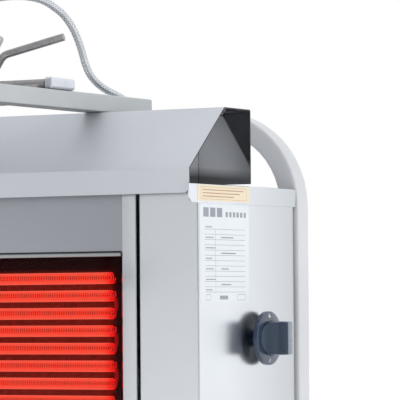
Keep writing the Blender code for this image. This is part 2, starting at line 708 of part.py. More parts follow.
def make_drive(finish):
    """Gearbox case, motor, pinion and the spit's gear with its socket."""
    case_low, wall = PLATE_TOP + GAP, 0.004
    case = box(
        "gearbox_case",
        (-0.047, SPIT_Y - 0.050, case_low),
        (0.047, PINION_Y + 0.026, CASE_TOP),
        finish["satin"],
    )
    cut_box(
        case,
        (-0.047 + wall, SPIT_Y - 0.050 + wall, case_low - 0.01),
        (0.047 - wall, PINION_Y + 0.026 - wall, CASE_TOP - wall),
    )
    cut_bore(case, (0, PINION_Y, CASE_TOP - 0.01), "Z", 0.007, 0.02)

    motor_low, motor_height, motor_radius = CASE_TOP + GAP, 0.078, 0.038
    profile = [
        (0, motor_height), (motor_radius - 0.005, motor_height), (motor_radius, motor_height - 0.005),
        (motor_radius, 0.012), (motor_radius + 0.003, 0.010), (motor_radius + 0.003, 0), (0, 0),
    ]
    motor = turned("motor_can", profile, (0, PINION_Y, motor_low), "Z", finish["satin"], 40)
    cut_bore(motor, (0, PINION_Y, motor_low - 0.01), "Z", 0.0045, 0.032)
    gland_y = PINION_Y + motor_radius - 0.002
    block = box_shape((-0.014, PINION_Y + 0.020, 1.038), (0.014, gland_y + 0.008, 1.062))
    join(motor, add_object("motor_terminal_block", block))
    profile = [
        (0, 0.0170), (0.0055, 0.0170), (0.0075, 0.0130), (0.0075, 0.0080),
        (0.0100, 0.0078), (0.0100, 0), (0, 0),
    ]
    start = gland_y + 0.008 + GAP
    end = CABLE_ROUTE[-1][1] - GAP
    scale = (end - start) / 0.0170
    turned(
        "motor_gland",
        [(r, h * scale) for r, h in profile],
        (0, start, CABLE_ROUTE[-1][2]),
        "Y",
        finish["brass"],
        12,
    )

    gear_low, gear_high = PLATE_TOP + 0.006, PLATE_TOP + 0.018
    gear = prism("spit_gear", gear_outline(GEAR_TEETH), "Z", gear_low, gear_high, finish["gear"])
    turn = Matrix.Rotation(math.pi / 2, 4, "Z")
    gear.data.transform(Matrix.Translation((0, SPIT_Y, 0)) @ turn)
    profile = [
        (0, gear_high + 0.006), (0.008, gear_high + 0.006), (0.008, gear_high - 0.001),
        (0.0125, gear_high - 0.001), (0.0125, RAIL_BOTTOM - 0.010), (0, RAIL_BOTTOM - 0.010),
    ]
    join(gear, turned("gear_hub", profile, (0, SPIT_Y, 0), "Z", steps=32))
    cut_bore(gear, (0, SPIT_Y, RAIL_BOTTOM - 0.02), "Z", 0.0075, PLATE_TOP - RAIL_BOTTOM + 0.022)
    hang_on(gear, (0, SPIT_Y, gear_low))

    pinion = prism("drive_pinion", gear_outline(PINION_TEETH), "Z", gear_low, gear_high, finish["gear"])
    turn = Matrix.Rotation(-math.pi / 2 + math.pi / PINION_TEETH, 4, "Z")
    pinion.data.transform(Matrix.Translation((0, PINION_Y, 0)) @ turn)
    shaft_low, shaft_high = gear_high - 0.001, motor_low + 0.018
    profile = [(0, shaft_high), (0.004, shaft_high), (0.004, shaft_low), (0, shaft_low)]
    join(pinion, turned("pinion_shaft", profile, (0, PINION_Y, 0), "Z", steps=16))
    hang_on(pinion, (0, PINION_Y, gear_low))


def make_spit(finish):
    rod_top = PLATE_TOP
    profile = [
        (0, rod_top), (0.006, rod_top), (0.007, rod_top - 0.001), (0.007, 0.130),
        (0.005, 0.128), (0.005, 0.102), (0.003, 0.099), (0, 0.099),
    ]
    turned("spit_rod", profile, (0, SPIT_Y, 0), "Z", finish["gloss"], 24)

    disc_z, spike = 0.150, 0.050
    profile = [
        (0, 0.016), (0.016, 0.016), (0.016, 0.004), (0.096, 0.004), (0.100, 0.008),
        (0.101, 0.007), (0.097, 0), (0, 0),
    ]
    disc = turned("spit_disc", profile, (0, SPIT_Y, disc_z), "Z", finish["gloss"], 40)
    for k in range(4):
        angle = math.radians(45 + 90 * k)
        place = (0.060 * math.cos(angle), SPIT_Y + 0.060 * math.sin(angle), disc_z + 0.002)
        profile = [(0, spike), (0.0028, spike - 0.014), (0.0028, 0), (0, 0)]
        join(disc, turned(f"disc_spike_{k}", profile, place, steps=10))
    cut_bore(disc, (0, SPIT_Y, disc_z - 0.01), "Z", 0.0073, 0.05)
    hang_on(disc, (0, SPIT_Y, disc_z))

    profile = [(0, 0.020), (0.013, 0.020), (0.013, 0.004), (0.058, 0.004), (0.060, 0.002), (0.058, 0), (0, 0)]
    retainer_z = 0.720
    retainer = turned("top_retainer", profile, (0, SPIT_Y, retainer_z), "Z", finish["gloss"], 32)
    cut_bore(retainer, (0, SPIT_Y, retainer_z - 0.01), "Z", 0.0073, 0.05)
    screw = [
        (0, 0.040), (0.008, 0.040), (0.009, 0.038), (0.009, 0.026),
        (0.008, 0.024), (0.003, 0.024), (0.003, 0), (0, 0),
    ]
    join(retainer, turned("thumb_screw", screw, (0.0100, SPIT_Y, retainer_z + 0.0118), "X", steps=12))
    hang_on(retainer, (0, SPIT_Y, retainer_z))


def make_lower_bearing(finish):
    rail_low, rail_high = BASE_TOP + GAP, BASE_TOP + 0.006
    box(
        "bearing_rail",
        (-0.020, BASE_FRONT + 0.002, rail_low),
        (0.020, BODY_FRONT - 0.008, rail_high),
        finish["satin"],
        0.0010,
        1,
    )
    outer, inner, low, high = 0.027, 0.0205, rail_low + 0.001, rail_high + 0.026
    outline = [
        (-outer, low), (-inner, low), (-inner, rail_high + GAP), (inner, rail_high + GAP),
        (inner, low), (outer, low), (outer, high - 0.006), (outer - 0.006, high),
        (-outer + 0.006, high), (-outer, high - 0.006),
    ]
    block = prism("lower_bearing", outline, "Y", SPIT_Y - 0.028, SPIT_Y + 0.028, finish["bearing"])
    cut_bore(block, (0, SPIT_Y, 0.097), "Z", 0.0053, 0.05)
    hang_on(block, (0, SPIT_Y, rail_high))


# Controls


def knob_shape(name, centre_y, centre_z, disc_radius, stand_off, disc_thickness, blade, reach, finish):
    """A rotary knob on the right side: shaft, skirt disc, hub and a blade of (length, width) to grip."""
    x = HALF_BODY
    profile = [
        (0, stand_off + 0.0045), (disc_radius * 0.50, stand_off + 0.0045),
        (disc_radius * 0.56, stand_off + 0.001), (disc_radius - 0.0012, stand_off), (disc_radius, stand_off - 0.0012),
        (disc_radius, stand_off - disc_thickness), (0.009, stand_off - disc_thickness),
        (0.009, 0.0008), (0.003, 0.0008), (0.003, -0.012), (0, -0.012),
    ]
    knob = turned(name, profile, (x, centre_y, centre_z), "X", finish["knob"], 28)
    length, width = blade
    half_width, half_length = width / 2, length / 2
    grip = [
        (-half_width, -half_length + 0.004), (-half_width + 0.003, -half_length),
        (half_width - 0.003, -half_length), (half_width, -half_length + 0.004),
        (half_width, half_length - 0.004), (half_width - 0.003, half_length),
        (-half_width + 0.003, half_length), (-half_width, half_length - 0.004),
    ]
    outline = [(centre_y + a, centre_z + b) for a, b in grip]
    handle = prism(f"{name}_grip", outline, "X", x + stand_off, x + reach)
    round_edges(handle, 0.0012, 1)
    join(knob, handle)
    hang_on(knob, (x, centre_y, centre_z))


def make_controls(finish):
    for zone in range(ZONES):
        centre_z, grip = zone_centre(zone), (0.042, 0.0135)
        knob_shape(f"heat_knob_{zone + 1}", KNOB_Y, centre_z, 0.0325, 0.0142, 0.0058, grip, KNOB_REACH, finish)
        body = box(
            f"regulator_{zone + 1}",
            (HALF_BODY - 0.048, KNOB_Y - 0.023, centre_z - 0.024),
            (HALF_BODY - SHEET - GAP, KNOB_Y + 0.023, centre_z + 0.024),
            finish["nylon"],
        )
        cut_bore(body, (HALF_BODY - 0.016, KNOB_Y, centre_z), "X", 0.0034, 0.03)
    knob_shape("motor_switch", KNOB_Y, SWITCH_Z, 0.017, 0.0095, 0.0032, (0.026, 0.009), 0.024, finish)


def make_cables(finish):
    rod_along("motor_cable", smooth_route(CABLE_ROUTE, 0.010), CABLE_DIAMETER / 2, finish["braid"], 2)
    x, y, z = CABLE_ROUTE[0]
    base = CAP_TOP + GAP
    height = z - GAP - base
    profile = [
        (0, height), (0.0058, height), (0.0080, height - 0.005), (0.0080, 0.008), (0.0105, 0.0078),
        (0.0105, 0), (0, 0),
    ]
    turned("cable_gland", profile, (x, y, base), "Z", finish["brass"], 12)
    profile = [
        (0, 0.024), (0.004, 0.024), (0.0065, 0.019), (0.0085, 0.018), (0.0105, 0.010),
        (0.0105, 0.0003), (0.0080, 0.0003), (0.0080, -0.012), (0, -0.012),
    ]
    turned("mains_gland", profile, (0.17, BODY_BACK, 0.14), "Y", finish["nylon"], 12)


def main():
    clear_scene()
    finish = make_finishes()
    make_base(finish)
    make_drip_tray(finish)
    make_bow(finish)
    make_body(finish)
    for zone in range(ZONES):
        make_zone(zone, finish)
    make_cap(finish)
    make_hood(finish)
    make_rails(finish)
    rod_z = make_carriage(finish)
    make_cross_rod(rod_z, finish)
    make_clamp(finish)
    make_drive(finish)
    make_spit(finish)
    make_lower_bearing(finish)
    make_controls(finish)
    make_cables(finish)


main()
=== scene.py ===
"""Looks for the vertical rotisserie broiler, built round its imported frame. Metres, +Z up."""

import json
import math

import bmesh
import bpy
import numpy as np
from mathutils import Matrix, Vector


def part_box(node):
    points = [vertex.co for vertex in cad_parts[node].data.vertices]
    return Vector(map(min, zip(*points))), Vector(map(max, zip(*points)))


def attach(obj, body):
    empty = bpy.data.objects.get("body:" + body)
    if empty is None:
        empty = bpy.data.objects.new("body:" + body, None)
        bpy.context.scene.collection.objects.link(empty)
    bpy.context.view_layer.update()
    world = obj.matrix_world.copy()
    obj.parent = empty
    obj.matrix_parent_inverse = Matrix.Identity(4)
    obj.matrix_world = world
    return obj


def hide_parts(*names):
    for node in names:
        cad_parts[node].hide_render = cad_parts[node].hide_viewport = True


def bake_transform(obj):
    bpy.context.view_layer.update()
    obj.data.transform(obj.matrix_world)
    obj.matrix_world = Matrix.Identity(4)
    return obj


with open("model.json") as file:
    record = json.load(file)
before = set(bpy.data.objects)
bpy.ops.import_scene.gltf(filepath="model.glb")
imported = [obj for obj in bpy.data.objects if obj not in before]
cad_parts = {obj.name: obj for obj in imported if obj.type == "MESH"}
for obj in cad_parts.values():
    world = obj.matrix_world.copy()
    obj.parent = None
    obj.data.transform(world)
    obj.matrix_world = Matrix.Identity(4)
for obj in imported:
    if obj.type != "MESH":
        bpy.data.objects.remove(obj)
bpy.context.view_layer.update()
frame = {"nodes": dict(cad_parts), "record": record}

# Places that the frame gives, and the middle line of the hood in (Y, Z)
SIDE_LOW, SIDE_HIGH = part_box("side_panel_right")
BAND_LOW, BAND_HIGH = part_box("top_cap")
HOOD_LOW, HOOD_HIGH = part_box("hood_shell")
HOOD_MIDDLE = ((HOOD_LOW.y + HOOD_HIGH.y) / 2 + 0.020, (BAND_HIGH.z + HOOD_HIGH.z) / 2)

# Heating zones, counted from the top, and the rows of wire in each
ZONES = 3
ROWS_PER_ZONE = 8

# Nodes that look different from their material slot
OWN_FINISH = {
    "hood_shell": "hood_steel",
    "side_panel_right": "side_steel",
    "side_panel_left": "side_steel",
    "top_cap": "side_steel",
}
OWN_FINISH.update({f"hood_bulkhead_{side}": "bulkhead_steel" for side in ("left", "right")})
OWN_FINISH.update({f"window_bar_{k}": "bar_steel" for k in range(1, ZONES + 2)})
OWN_FINISH.update({f"heater_board_{k}": f"ceramic_board_{k}" for k in range(1, ZONES + 1)})

# Rotary knobs, as disc radius, how far the disc's face stands off the panel, and radius of the grip's hub
HEAT_KNOB = (0.0325, 0.0142, 0.0205)
MOTOR_SWITCH = (0.0170, 0.0095, 0.0108)

# Radii of the button heads
BIG_SCREW = 0.0042
SMALL_SCREW = 0.0034

# Wound heating wire
WIRE_RADIUS = 0.00085
WIRE_SIDES = 5
COIL_PITCH = 0.0031
COIL_STEPS = 10
LINK_DEPTH = 0.0045  # how far the short link between two rows reaches past their ends
LINK_SHARE = 0.30  # how wide the coil is in a link, as a share of its width in a row

# Motor cable: the same route as the solid, from the gland on the cap to the gland on the motor
CABLE_DIAMETER = 0.0095
CABLE_ROUTE = [
    (0.0750, 0.2620, 0.8623),
    (0.0750, 0.2620, 0.8850),
    (0.0748, 0.2605, 0.9080),
    (0.0738, 0.2545, 0.9300),
    (0.0715, 0.2430, 0.9465),
    (0.0685, 0.2285, 0.9565),
    (0.0648, 0.2145, 0.9618),
    (0.0614, 0.1989, 0.9668),
    (0.0580, 0.1832, 0.9745),
    (0.0552, 0.1705, 0.9850),
    (0.0534, 0.1625, 0.9980),
    (0.0521, 0.1565, 1.0130),
    (0.0505, 0.1490, 1.0282),
    (0.0484, 0.1392, 1.0425),
    (0.0456, 0.1260, 1.0548),
    (0.0422, 0.1103, 1.0635),
    (0.0384, 0.0928, 1.0702),
    (0.0347, 0.0750, 1.0731),
    (0.0300, 0.0540, 1.0736),
    (0.0240, 0.0300, 1.0715),
    (0.0170, 0.0030, 1.0668),
    (0.0100, -0.0250, 1.0600),
    (0.0040, -0.0530, 1.0535),
    (0.0008, -0.0700, 1.0508),
    (0.0000, -0.0847, 1.0500),
]

# The braid on it: two crossing sets of flat strands, and how they pass over and under each other
STRANDS = 8
LAY_LENGTH = 0.036
STRAND_THICKNESS = 0.00028
STRAND_WAVE = 0.00022
STRAND_PROFILE = [
    (-0.5, -0.3), (-0.34, 0.6), (-0.17, 0.25), (0.0, 0.8), (0.17, 0.25), (0.34, 0.6), (0.5, -0.3)
]

# Camera: where it stands, where it looks, and its lens in mm on a 36 mm sensor
CAMERA_PLACE = (2.0711, -3.157, 0.696)
CAMERA_SIGHT = (-0.48777, 0.87232, 0.03381)
CAMERA_UP = (0.02349, -0.0256, 0.9994)
CAMERA_LENS = 282.5

# The room that the steel reflects: an even level and soft bright areas, each as direction, strength and
# the cosines where it starts and where it is full
ROOM_COLOR = (0.955, 0.975, 1.0, 1.0)
ROOM_LEVEL = 0.26
ROOM_CARDS = [
    ((0.488, 0.872, 0.034), 0.96, 0.20, 0.95),
    ((-0.488, -0.872, 0.034), 0.46, 0.50, 0.95),
    ((-0.45, 0.15, 0.88), 0.84, 0.35, 0.95),
]


# Camera, floor and light


def make_camera():
    """A long lens from the front right, a little below the hood, looking slightly up."""
    sight = Vector(CAMERA_SIGHT).normalized()
    right = sight.cross(Vector(CAMERA_UP)).normalized()
    up = right.cross(sight)
    data = bpy.data.cameras.new("camera")
    data.sensor_width = 36.0
    data.lens = CAMERA_LENS
    data.clip_end = 100.0
    camera = bpy.data.objects.new("camera", data)
    turn = Matrix((right, up, -sight)).transposed().to_4x4()
    camera.matrix_world = Matrix.Translation(CAMERA_PLACE) @ turn
    bpy.context.scene.collection.objects.link(camera)
    bpy.context.scene.camera = camera


def make_world():
    """A white studio: the camera sees plain white, and the steel sees a room with its bright areas."""
    world = bpy.data.worlds.new("studio")
    bpy.context.scene.world = world
    world.use_nodes = True
    nodes, links = world.node_tree.nodes, world.node_tree.links
    nodes.clear()
    output = nodes.new("ShaderNodeOutputWorld")
    choose = nodes.new("ShaderNodeMixShader")
    path = nodes.new("ShaderNodeLightPath")
    white = nodes.new("ShaderNodeBackground")
    white.inputs["Color"].default_value = (1.0, 1.0, 1.0, 1.0)
    room = nodes.new("ShaderNodeBackground")
    room.inputs["Color"].default_value = ROOM_COLOR
    direction = nodes.new("ShaderNodeTexCoord").outputs["Generated"]
    level = None
    for aim, strength, start, full in ROOM_CARDS:
        towards = nodes.new("ShaderNodeVectorMath")
        towards.operation = "DOT_PRODUCT"
        towards.inputs[1].default_value = Vector(aim).normalized()
        card = nodes.new("ShaderNodeMapRange")
        card.interpolation_type = "SMOOTHSTEP"
        card.inputs["From Min"].default_value = start
        card.inputs["From Max"].default_value = full
        card.inputs["To Max"].default_value = strength
        total = nodes.new("ShaderNodeMath")
        links.new(direction, towards.inputs[0])
        links.new(towards.outputs["Value"], card.inputs["Value"])
        links.new(card.outputs["Result"], total.inputs[0])
        total.inputs[1].default_value = ROOM_LEVEL
        if level:
            links.new(level, total.inputs[1])
        level = total.outputs["Value"]
    links.new(level, room.inputs["Strength"])
    links.new(path.outputs["Is Camera Ray"], choose.inputs["Fac"])
    links.new(room.outputs["Background"], choose.inputs[1])
    links.new(white.outputs["Background"], choose.inputs[2])
    links.new(choose.outputs["Shader"], output.inputs["Surface"])


def area_light(name, place, aim, size, power):
    data = bpy.data.lights.new(name, "AREA")
    data.shape = "RECTANGLE"
    data.size, data.size_y = size
    data.energy = power
    lamp = bpy.data.objects.new(name, data)
    lamp.location = place
    lamp.rotation_euler = (Vector(aim) - Vector(place)).to_track_quat("-Z", "Y").to_euler()
    bpy.context.scene.collection.objects.link(lamp)


def make_stage(finish):
    bpy.context.scene.view_settings.view_transform = "Standard"
    radius, steps = 30, 48
    ring = [(x, y, 0.0) for x, y in circle(radius, steps)]
    floor = mesh_object("floor", ring, [list(range(steps))], [finish])
    area_light("key_light", (2.4, -0.3, 1.9), (0.25, 0.15, 0.65), (2.0, 2.0), 13)


# Shapes


def mesh_object(name, vertices, faces, finishes, smooth=False, sharp_angle=math.radians(35)):
    mesh = bpy.data.meshes.new(name)
    mesh.from_pydata([tuple(v) for v in vertices], [], [tuple(f) for f in faces])
    for finish in finishes:
        mesh.materials.append(finish)
    if smooth:
        mesh.shade_smooth()
        if sharp_angle:
            mesh.set_sharp_from_angle(angle=sharp_angle)
    made = bpy.data.objects.new(name, mesh)
    bpy.context.scene.collection.objects.link(made)
    return made


def smooth_route(points, spacing):
    """Points a given distance apart on a Catmull-Rom curve through the route's own points."""
    line = [Vector(p) for p in points]
    ends = [line[0] * 2 - line[1], *line, line[-1] * 2 - line[-2]]
    dense = []
    for p0, p1, p2, p3 in zip(ends, ends[1:], ends[2:], ends[3:]):
        for k in range(48):
            t = k / 48
            dense.append(
                (2 * p1 + (p2 - p0) * t + (2 * p0 - 5 * p1 + 4 * p2 - p3) * t**2
                 + (3 * p1 - p0 - 3 * p2 + p3) * t**3) / 2
            )
    dense.append(line[-1])
    return resample(np.array([list(p) for p in dense]), spacing)


def resample(line, spacing):
    """Points an even distance apart along a line."""
    travelled = np.concatenate([[0.0], np.cumsum(np.linalg.norm(np.diff(line, axis=0), axis=1))])
    wanted = np.linspace(0.0, travelled[-1], int(round(travelled[-1] / spacing)) + 1)
    return np.stack([np.interp(wanted, travelled, line[:, axis]) for axis in range(3)], axis=1)


def route_length(line):
    return float(np.linalg.norm(np.diff(line, axis=0), axis=1).sum())


def line_frames(line):
    """A side and an up direction at each point of a line, carried along it without twist."""
    line = np.asarray(line, float)
    along = np.gradient(line, axis=0)
    along /= np.linalg.norm(along, axis=1)[:, None]
    hint = np.array([1.0, 0.0, 0.0]) if abs(along[0][0]) < 0.7 else np.array([0.0, 1.0, 0.0])
    side = np.zeros_like(along)
    side[0] = hint - along[0] * hint.dot(along[0])
    side[0] /= np.linalg.norm(side[0])
    for k in range(1, len(line)):
        carried = side[k - 1] - along[k] * side[k - 1].dot(along[k])
        side[k] = carried / np.linalg.norm(carried)
    return along, side, np.cross(along, side)


def sweep_faces(rings, count):
    """Faces of a closed body whose vertices come in rings, count to a ring."""
    faces = [
        (a * count + b, a * count + (b + 1) % count, (a + 1) * count + (b + 1) % count, (a + 1) * count + b)
        for a in range(rings - 1)
        for b in range(count)
    ]
    return faces + [tuple(range(count - 1, -1, -1)), tuple((rings - 1) * count + b for b in range(count))]


def tube_parts(line, outline):
    """Vertices and faces of a closed sweep of an outline, points as (sideways, upwards), along a line."""
    _, side, up = line_frames(line)
    across, rise = zip(*outline)
    vertices = [
        point + np.outer(across, sideways) + np.outer(rise, upwards)
        for point, sideways, upwards in zip(np.asarray(line, float), side, up)
    ]
    return np.concatenate(vertices), sweep_faces(len(line), len(outline))


def circle(radius, steps):
    angles = [math.tau * k / steps for k in range(steps)]
    return [(radius * math.cos(a), radius * math.sin(a)) for a in angles]


def merge_parts(parts):
    """Joins (vertices, faces) pairs into one pair."""
    vertices, faces, start = [], [], 0
    for some_vertices, some_faces in parts:
        vertices.extend([tuple(v) for v in some_vertices])
        faces.extend([tuple(start + i for i in face) for face in some_faces])
        start += len(some_vertices)
    return vertices, faces


# Finishes


class Finish:
    """A Principled material whose colour, roughness and bump come from noise at the surface's own scale."""

    def __init__(self, name, color, roughness, metallic=0.0, **sockets):
        self.material = bpy.data.materials.new(name)
        self.material.use_nodes = True
        self.nodes = self.material.node_tree.nodes
        self.links = self.material.node_tree.links
        self.shader = self.nodes["Principled BSDF"]
        self.bump = None
        self.shader.inputs["Base Color"].default_value = (*color, 1.0)
        self.shader.inputs["Roughness"].default_value = roughness
        self.shader.inputs["Metallic"].default_value = metallic
        for socket, value in sockets.items():
            self.shader.inputs[socket.replace("_", " ")].default_value = value
        coordinates = self.nodes.new("ShaderNodeTexCoord")
        self.place = coordinates.outputs["Object"]
        self.looks = coordinates.outputs["Normal"]

    def along(self, axis, vector=None):
        """One component of a vector, which is the place on the object unless another one is given."""
        split = self.nodes.new("ShaderNodeSeparateXYZ")
        self.links.new(vector or self.place, split.inputs["Vector"])
        return split.outputs[axis]

    def size(self, value):
        """The absolute value of a number."""
        size = self.nodes.new("ShaderNodeMath")
        size.operation = "ABSOLUTE"
        self.links.new(value, size.inputs[0])
        return size.outputs["Value"]

    def noise(self, scale, stretch=(1, 1, 1), detail=3.0):
        """A noise value from 0 to 1. Scale is in features per metre, and stretch lengthens them."""
        mapping = self.nodes.new("ShaderNodeMapping")
        mapping.inputs["Scale"].default_value = [scale / s for s in stretch]
        texture = self.nodes.new("ShaderNodeTexNoise")
        texture.inputs["Scale"].default_value = 1.0
        texture.inputs["Detail"].default_value = detail
        self.links.new(self.place, mapping.inputs["Vector"])
        self.links.new(mapping.outputs["Vector"], texture.inputs["Vector"])
        return texture.outputs["Fac"]

    def spread(self, value, low, high, start=0.3, end=0.7):
        change = self.nodes.new("ShaderNodeMapRange")
        change.inputs["From Min"].default_value = start
        change.inputs["From Max"].default_value = end
        change.inputs["To Min"].default_value = low
        change.inputs["To Max"].default_value = high
        self.links.new(value, change.inputs["Value"])
        return change.outputs["Result"]

    def shade(self, value, other, start=0.3, end=0.7):
        """Mixes the colour so far with another one by a value."""
        mix = self.nodes.new("ShaderNodeMix")
        mix.data_type = "RGBA"
        socket = self.shader.inputs["Base Color"]
        if socket.is_linked:
            self.links.new(socket.links[0].from_socket, mix.inputs["A"])
        else:
            mix.inputs["A"].default_value = socket.default_value
        mix.inputs["B"].default_value = (*other, 1.0)
        self.links.new(self.spread(value, 0.0, 1.0, start, end), mix.inputs["Factor"])
        self.links.new(mix.outputs["Result"], socket)

    def rough(self, value, low, high):
        self.links.new(self.spread(value, low, high), self.shader.inputs["Roughness"])

    def relief(self, value, strength, depth):
        made = self.nodes.new("ShaderNodeBump")
        made.inputs["Strength"].default_value = strength
        made.inputs["Distance"].default_value = depth
        self.links.new(value, made.inputs["Height"])
        if self.bump:
            self.links.new(self.bump.outputs["Normal"], made.inputs["Normal"])
        self.links.new(made.outputs["Normal"], self.shader.inputs["Normal"])
        self.bump = made

    def glow(self, hot, cool, start, end):
        """Emission that falls from one strength to another between two distances from the plane X = 0."""
        strength = self.spread(self.size(self.along("X")), hot, cool, start, end)
        self.links.new(strength, self.shader.inputs["Emission Strength"])

    def hue(self, level, steep, far, start, end):
        """Emission colour that changes from faces that look level to faces that look up or down, and again
        between two distances from the plane X = 0."""
        color = None
        changes = [(self.along("Z", self.looks), steep, 0.25, 0.95), (self.along("X"), far, start, end)]
        for value, other, low, high in changes:
            mix = self.nodes.new("ShaderNodeMix")
            mix.data_type = "RGBA"
            mix.inputs["A"].default_value = (*level, 1.0)
            if color:
                self.links.new(color, mix.inputs["A"])
            mix.inputs["B"].default_value = (*other, 1.0)
            self.links.new(self.spread(self.size(value), 0.0, 1.0, low, high), mix.inputs["Factor"])
            color = mix.outputs["Result"]
        self.links.new(color, self.shader.inputs["Emission Color"])


def tint(color, factor):
    return tuple(min(1.0, c * factor) for c in color)


def steel(name, color, roughness, grain_axis, grain=0.06, depth=0.00002, painted_shade_from=None):
    """Sheet steel: fine lines along one axis, slow clouds in its gloss and a slight change of tone. It can
    get painted shade, a little darker towards the back from a place along Y."""
    made = Finish(name, color, roughness, 1.0)
    stretch = [1.0, 1.0, 1.0]
    stretch["XYZ".index(grain_axis)] = 60.0
    lines = made.noise(1800, stretch, 2.0)
    clouds = made.noise(7, detail=4.0)
    made.shade(clouds, tint(color, 0.965))
    made.shade(lines, tint(color, 1.0 - grain), 0.35, 0.75)
    # painted shade: the colour gets darker towards the back along Y
    if painted_shade_from is not None:
        made.shade(made.along("Y"), tint(color, 0.72), painted_shade_from, painted_shade_from + 0.17)
    made.rough(made.noise(14, detail=5.0), roughness * 0.88, roughness * 1.14)
    made.relief(lines, 0.25, depth)
    return made.material


def hood_steel(name, color, roughness, inside_roughness, middle):
    """Sheet with a ground outside, a bright inside, a darkened right edge and painted shade on its
    undersides. A face is inside where it looks towards the middle line of the hood, a point in (Y, Z)."""
    made = Finish(name, color, roughness, 1.0)
    made.shade(made.noise(7, detail=4.0), tint(color, 0.95))
    made.relief(made.noise(1800, (60.0, 1.0, 1.0), 2.0), 0.15, 0.00001)
    offset = made.nodes.new("ShaderNodeVectorMath")
    offset.operation = "SUBTRACT"
    offset.inputs[1].default_value = (0.0, *middle)
    flat = made.nodes.new("ShaderNodeVectorMath")
    flat.operation = "MULTIPLY"
    flat.inputs[1].default_value = (0.0, 1.0, 1.0)
    outward = made.nodes.new("ShaderNodeVectorMath")
    outward.operation = "DOT_PRODUCT"
    made.links.new(made.place, offset.inputs[0])
    made.links.new(offset.outputs["Vector"], flat.inputs[0])
    made.links.new(flat.outputs["Vector"], outward.inputs[0])
    made.links.new(made.looks, outward.inputs[1])
    outward = outward.outputs["Value"]
    ground = made.spread(outward, inside_roughness, roughness, -0.001, 0.001)
    made.links.new(ground, made.shader.inputs["Roughness"])
    metal = made.spread(outward, 1.0, 0.22, -0.001, 0.001)
    made.links.new(metal, made.shader.inputs["Metallic"])
    made.shade(outward, (0.85, 0.86, 0.88), 0.001, -0.001)
    # faces that look along +X, at the sheet's right edge, are made almost black
    made.shade(made.along("X", made.looks), tint(color, 0.05), 0.6, 0.9)
    # painted shade: faces that look downwards are darkened
    made.shade(made.along("Z", made.looks), tint(color, 0.15), -0.2, -0.4)
    return made.material


def bulkhead_steel(name, color, base_height):
    """Dull sheet with painted shade: it gets darker just above the cap that it stands on."""
    made = Finish(name, color, 0.45, 0.3)
    made.shade(made.noise(18, detail=4.0), tint(color, 0.93))
    made.relief(made.noise(900, (1.0, 60.0, 1.0), 2.0), 0.2, 0.00002)
    # painted shade: darker low down, just above the cap
    made.shade(made.along("Z"), tint(color, 0.14), base_height + 0.026, base_height + 0.013)
    return made.material


def paint(name, color, roughness, speck=2600, painted_shade_below=1.0):
    """Powder coat: a fine orange peel with a little dust in its tone. Its undersides can get painted shade.
    """
    made = Finish(name, color, roughness, 0.0, Specular_IOR_Level=0.5)
    made.shade(made.noise(9, detail=4.0), tint(color, 0.94))
    if painted_shade_below < 1.0:
        # painted shade: faces that look downwards are darkened
        made.shade(made.along("Z", made.looks), tint(color, painted_shade_below), -0.6, -0.8)
    made.rough(made.noise(20, detail=4.0), roughness * 0.9, roughness * 1.12)
    made.relief(made.noise(speck, detail=2.0), 0.18, 0.00006)
    return made.material


def bare_metal(name, color, roughness, stretch=(1, 1, 1), pits=900, dark=0.8):
    """Bare stock as it was rolled or turned: streaks, small pits and dull patches."""
    made = Finish(name, color, roughness, 1.0)
    made.shade(made.noise(60, detail=6.0), tint(color, dark))
    made.shade(made.noise(pits, stretch, 3.0), tint(color, dark * 0.95), 0.45, 0.8)
    made.rough(made.noise(120, detail=5.0), roughness * 0.8, roughness * 1.25)
    made.relief(made.noise(pits, stretch, 3.0), 0.35, 0.00004)
    return made.material


def plastic(name, color, roughness, grain=3500, coat=0.0, painted_highlight_from=None):
    """Moulded plastic. Its end face can carry a painted highlight, paler from a place along X."""
    made = Finish(
        name, color, roughness, 0.0, Specular_IOR_Level=0.5, Coat_Weight=coat, Coat_Roughness=0.18
    )
    made.shade(made.noise(40, detail=5.0), tint(color, 0.86))
    # painted highlight: the grip's end face is made paler
    if painted_highlight_from is not None:
        made.shade(made.along("X"), (0.19, 0.225, 0.275), painted_highlight_from, painted_highlight_from + 0.0005)
    made.rough(made.noise(90, detail=4.0), roughness * 0.88, roughness * 1.15)
    made.relief(made.noise(grain, detail=2.0), 0.15, 0.00005)
    return made.material


def label_paper(name, color):
    """Self-adhesive film: almost even, with a faint fibre and a soft gloss."""
    made = Finish(name, color, 0.42, 0.0, Specular_IOR_Level=0.5)
    made.shade(made.noise(35, detail=5.0), tint(color, 0.965))
    made.rough(made.noise(70, detail=3.0), 0.36, 0.50)
    made.relief(made.noise(2200, detail=3.0), 0.10, 0.00003)
    return made.material


def ceramic_board(name, low, high):
    """Fibre board with the element's red glow painted on it, and painted shade around the element."""
    # the red-brown base stands in for the element's glow: painted light
    made = Finish(name, (0.26, 0.085, 0.045), 0.92)
    made.shade(made.noise(120, detail=6.0), (0.15, 0.050, 0.030))
    across, height = made.along("X"), made.along("Z")
    # painted shade: dark above, below and beyond the element's ends, where its glow falls off
    glow_falloff_shade = (0.012, 0.007, 0.011)
    made.shade(height, glow_falloff_shade, high.z - 0.001, high.z + 0.004)
    made.shade(height, glow_falloff_shade, low.z + 0.001, low.z - 0.004)
    made.shade(across, glow_falloff_shade, high.x - 0.018, high.x - 0.006)
    made.shade(across, glow_falloff_shade, low.x + 0.018, low.x + 0.006)
    made.relief(made.noise(700, detail=5.0), 0.5, 0.0004)
    return made.material


